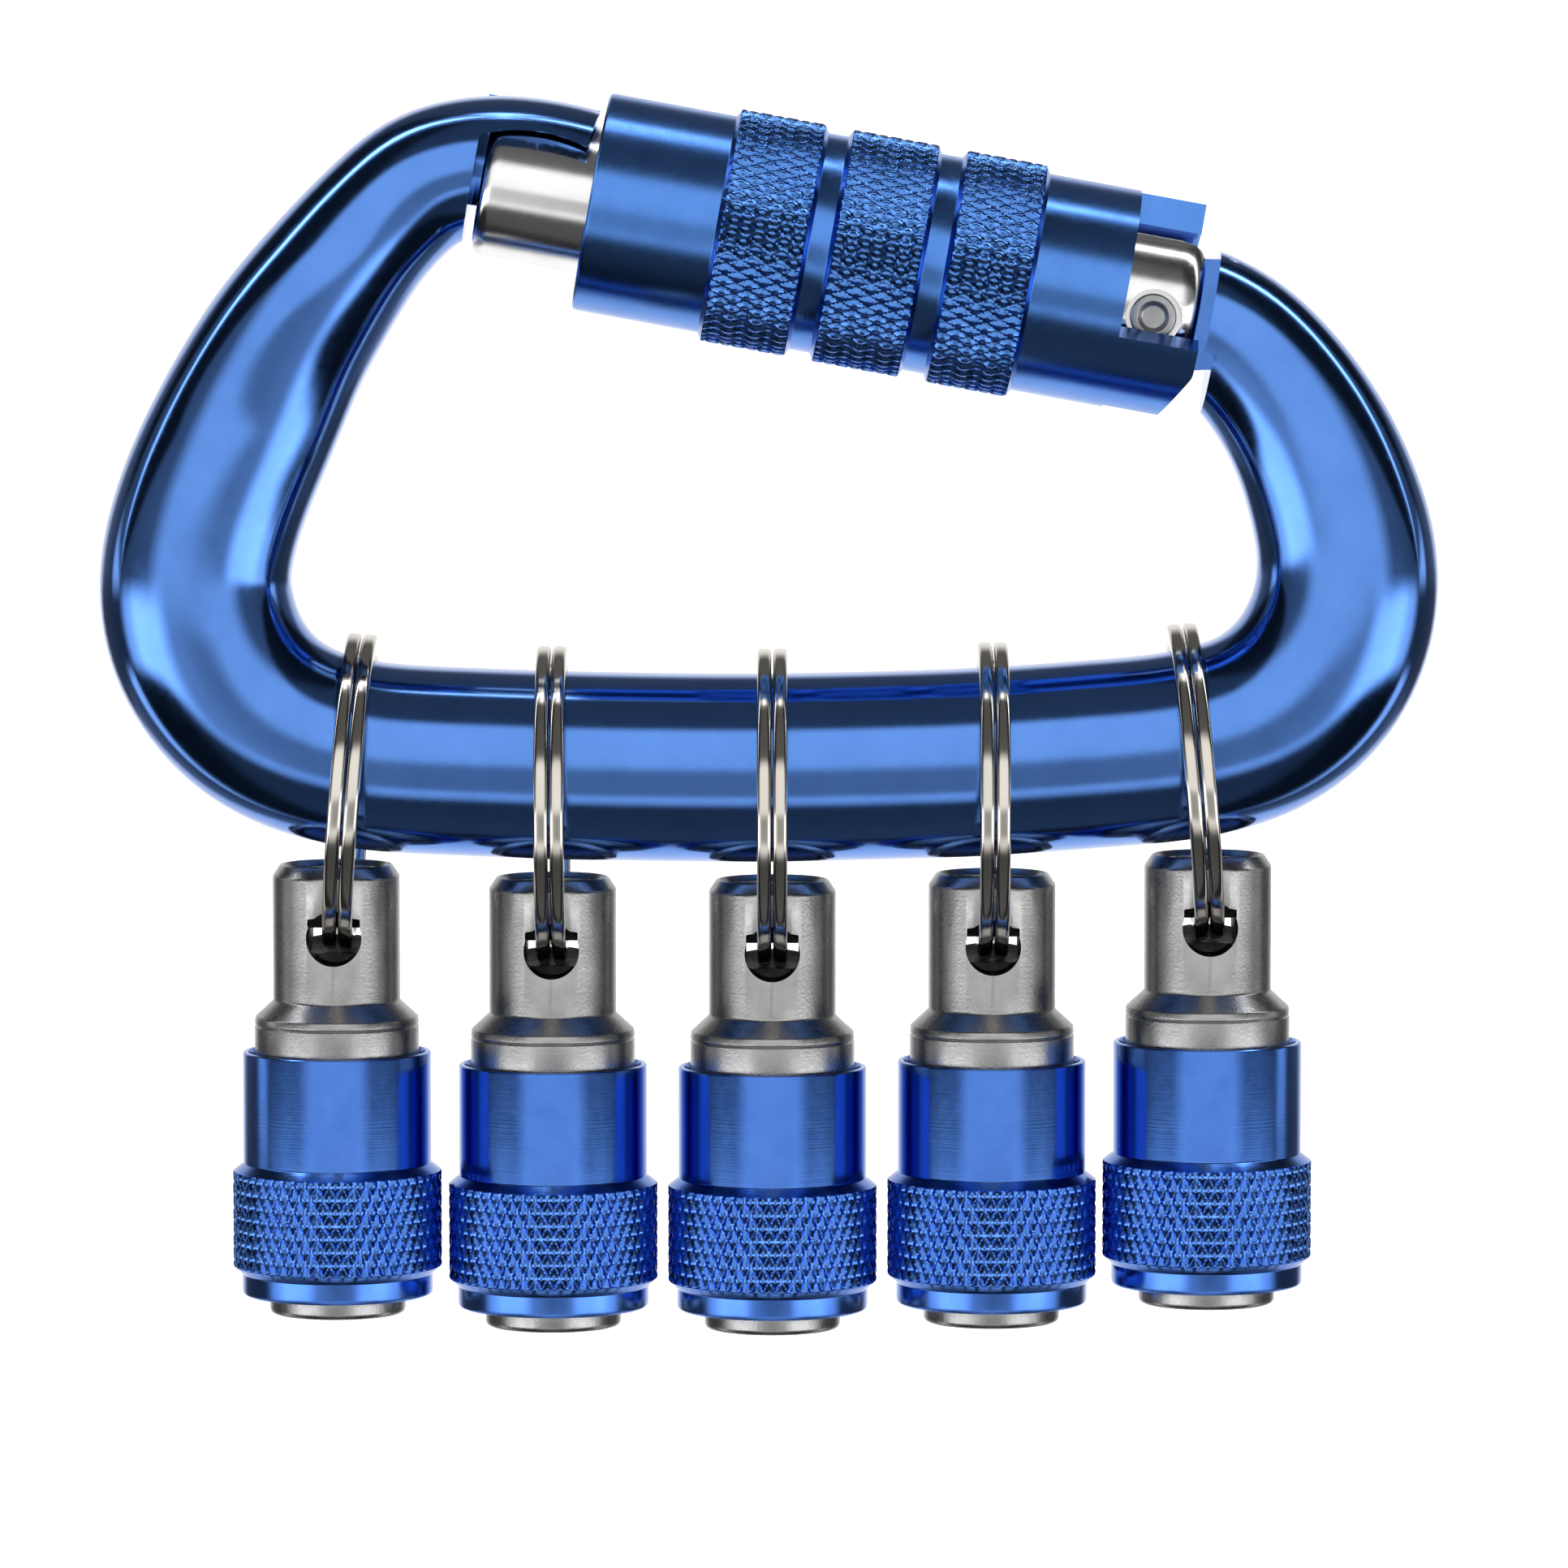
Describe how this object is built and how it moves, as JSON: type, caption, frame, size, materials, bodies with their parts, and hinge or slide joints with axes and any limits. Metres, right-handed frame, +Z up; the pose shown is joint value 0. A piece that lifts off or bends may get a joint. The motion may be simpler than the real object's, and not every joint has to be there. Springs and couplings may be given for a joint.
{
  "type": "carabiner keyring",
  "caption": "Locking carabiner with a sprung gate and knurled sleeve, its spine carrying split rings that each hang a quick-release hex bit holder with a sliding collar.",
  "frame": {"origin": "the inside of the frame's bend beside the gate's nose, on the frame's mid-plane, where it hangs on a hook", "axes": "+X along the spine towards the hinge end, +Z up, -Y towards the front, where the gate's rivet and the holders' cross holes face"},
  "size_m": [0.0894, 0.0212, 0.0827],
  "materials": {
    "frame_anodise": "deep blue anodise, polished to a mirror",
    "rivet": "dull bare steel",
    "gate_aluminium": "bare aluminium, fine turned finish",
    "sleeve_anodise": "blue anodise, satin, with cross-knurled bands",
    "collar_anodise": "bright blue anodise, fine turned lines, cross-knurled band",
    "holder_steel": "grey steel, bead blasted",
    "ring_nickel": "warm nickel plate",
    "ball_steel": "polished bearing steel",
    "springs": "drawn spring steel",
    "inner_steel": "turned steel",
    "bush": "turned brass"
  },
  "bodies": {
    "frame_body": {"frame": "frame_anodise", "hinge_rivet": "rivet"},
    "gate_body": {"gate": "gate_aluminium", "gate_spring": "springs", "gate_plunger": "inner_steel", "sleeve_spring": "springs"},
    "bush_body": {"sleeve_bush": "bush"},
    "sleeve_body": {"locking_sleeve": "sleeve_anodise"},
    "ring_body_1": {"split_ring_1": "ring_nickel"},
    "holder_body_1": {"holder_1": "holder_steel", "snap_ring_1": "springs", "collar_spring_1": "springs"},
    "collar_body_1": {"collar_1": "collar_anodise"},
    "ball_body_1": {"lock_ball_1": "ball_steel"},
    "ring_body_2": {"split_ring_2": "ring_nickel"},
    "holder_body_2": {"holder_2": "holder_steel", "snap_ring_2": "springs", "collar_spring_2": "springs"},
    "collar_body_2": {"collar_2": "collar_anodise"},
    "ball_body_2": {"lock_ball_2": "ball_steel"},
    "ring_body_3": {"split_ring_3": "ring_nickel"},
    "holder_body_3": {"holder_3": "holder_steel", "snap_ring_3": "springs", "collar_spring_3": "springs"},
    "collar_body_3": {"collar_3": "collar_anodise"},
    "ball_body_3": {"lock_ball_3": "ball_steel"},
    "ring_body_4": {"split_ring_4": "ring_nickel"},
    "holder_body_4": {"holder_4": "holder_steel", "snap_ring_4": "springs", "collar_spring_4": "springs"},
    "collar_body_4": {"collar_4": "collar_anodise"},
    "ball_body_4": {"lock_ball_4": "ball_steel"},
    "ring_body_5": {"split_ring_5": "ring_nickel"},
    "holder_body_5": {"holder_5": "holder_steel", "snap_ring_5": "springs", "collar_spring_5": "springs"},
    "collar_body_5": {"collar_5": "collar_anodise"},
    "ball_body_5": {"lock_ball_5": "ball_steel"}
  },
  "joints": [
    {"name": "gate_swing", "type": "hinge", "parent": "frame_body", "child": "gate_body", "pos_m": [0.0466, 0, -0.0046], "axis": [0, -1, 0], "range_deg": [0, 15], "stiffness_Nm_per_rad": 0.25, "springref_deg": -20.05},
    {"name": "sleeve_slide", "type": "slide", "parent": "gate_body", "child": "bush_body", "axis": [-0.9836, 0, 0.1805], "range_m": [0, 0.0025], "stiffness_N_per_m": 200, "springref_m": -0.001},
    {"name": "sleeve_twist", "type": "hinge", "parent": "bush_body", "child": "sleeve_body", "pos_m": [0.02902, 0, -0.00063], "axis": [0.9836, 0, -0.1805], "range_deg": [0, 90], "stiffness_Nm_per_rad": 0.02, "springref_deg": -17.19},
    {"name": "ring_swing_1", "type": "hinge", "parent": "frame_body", "child": "ring_body_1", "pos_m": [-0.00675, 0, -0.03332], "axis": [1, 0, 0], "range_deg": [-40, 40]},
    {"name": "holder_swing_1", "type": "hinge", "parent": "ring_body_1", "child": "holder_body_1", "pos_m": [-0.00675, 0, -0.03641], "axis": [1, 0, 0], "range_deg": [-30, 30]},
    {"name": "collar_slide_1", "type": "slide", "parent": "holder_body_1", "child": "collar_body_1", "axis": [0, 0, 1], "range_m": [0, 0.002], "stiffness_N_per_m": 200, "springref_m": -0.001, "deforming": ["collar_spring_1"]},
    {"name": "ball_travel_1", "type": "slide", "parent": "holder_body_1", "child": "ball_body_1", "axis": [0, -1, 0], "range_m": [0, 0.0006]},
    {"name": "ring_swing_2", "type": "hinge", "parent": "frame_body", "child": "ring_body_2", "pos_m": [0.00672, 0, -0.03417], "axis": [1, 0, 0], "range_deg": [-40, 40]},
    {"name": "holder_swing_2", "type": "hinge", "parent": "ring_body_2", "child": "holder_body_2", "pos_m": [0.00672, 0, -0.03726], "axis": [1, 0, 0], "range_deg": [-30, 30]},
    {"name": "collar_slide_2", "type": "slide", "parent": "holder_body_2", "child": "collar_body_2", "axis": [0, 0, 1], "range_m": [0, 0.002], "stiffness_N_per_m": 200, "springref_m": -0.001, "deforming": ["collar_spring_2"]},
    {"name": "ball_travel_2", "type": "slide", "parent": "holder_body_2", "child": "ball_body_2", "axis": [0, -1, 0], "range_m": [0, 0.0006]},
    {"name": "ring_swing_3", "type": "hinge", "parent": "frame_body", "child": "ring_body_3", "pos_m": [0.02142, 0, -0.03435], "axis": [1, 0, 0], "range_deg": [-40, 40]},
    {"name": "holder_swing_3", "type": "hinge", "parent": "ring_body_3", "child": "holder_body_3", "pos_m": [0.02142, 0, -0.03744], "axis": [1, 0, 0], "range_deg": [-30, 30]},
    {"name": "collar_slide_3", "type": "slide", "parent": "holder_body_3", "child": "collar_body_3", "axis": [0, 0, 1], "range_m": [0, 0.002], "stiffness_N_per_m": 200, "springref_m": -0.001, "deforming": ["collar_spring_3"]},
    {"name": "ball_travel_3", "type": "slide", "parent": "holder_body_3", "child": "ball_body_3", "axis": [0, -1, 0], "range_m": [0, 0.0006]},
    {"name": "ring_swing_4", "type": "hinge", "parent": "frame_body", "child": "ring_body_4", "pos_m": [0.03612, 0, -0.03392], "axis": [1, 0, 0], "range_deg": [-40, 40]},
    {"name": "holder_swing_4", "type": "hinge", "parent": "ring_body_4", "child": "holder_body_4", "pos_m": [0.03612, 0, -0.03701], "axis": [1, 0, 0], "range_deg": [-30, 30]},
    {"name": "collar_slide_4", "type": "slide", "parent": "holder_body_4", "child": "collar_body_4", "axis": [0, 0, 1], "range_m": [0, 0.002], "stiffness_N_per_m": 200, "springref_m": -0.001, "deforming": ["collar_spring_4"]},
    {"name": "ball_travel_4", "type": "slide", "parent": "holder_body_4", "child": "ball_body_4", "axis": [0, -1, 0], "range_m": [0, 0.0006]},
    {"name": "ring_swing_5", "type": "hinge", "parent": "frame_body", "child": "ring_body_5", "pos_m": [0.04965, 0, -0.03265], "axis": [1, 0, 0], "range_deg": [-40, 40]},
    {"name": "holder_swing_5", "type": "hinge", "parent": "ring_body_5", "child": "holder_body_5", "pos_m": [0.04965, 0, -0.03574], "axis": [1, 0, 0], "range_deg": [-30, 30]},
    {"name": "collar_slide_5", "type": "slide", "parent": "holder_body_5", "child": "collar_body_5", "axis": [0, 0, 1], "range_m": [0, 0.002], "stiffness_N_per_m": 200, "springref_m": -0.001, "deforming": ["collar_spring_5"]},
    {"name": "ball_travel_5", "type": "slide", "parent": "holder_body_5", "child": "ball_body_5", "axis": [0, -1, 0], "range_m": [0, 0.0006]}
  ],
  "couplings": [
    {"joint": "ball_travel_1", "follows": "collar_slide_1", "ratio": 0.3},
    {"joint": "ball_travel_2", "follows": "collar_slide_2", "ratio": 0.3},
    {"joint": "ball_travel_3", "follows": "collar_slide_3", "ratio": 0.3},
    {"joint": "ball_travel_4", "follows": "collar_slide_4", "ratio": 0.3},
    {"joint": "ball_travel_5", "follows": "collar_slide_5", "ratio": 0.3}
  ]
}
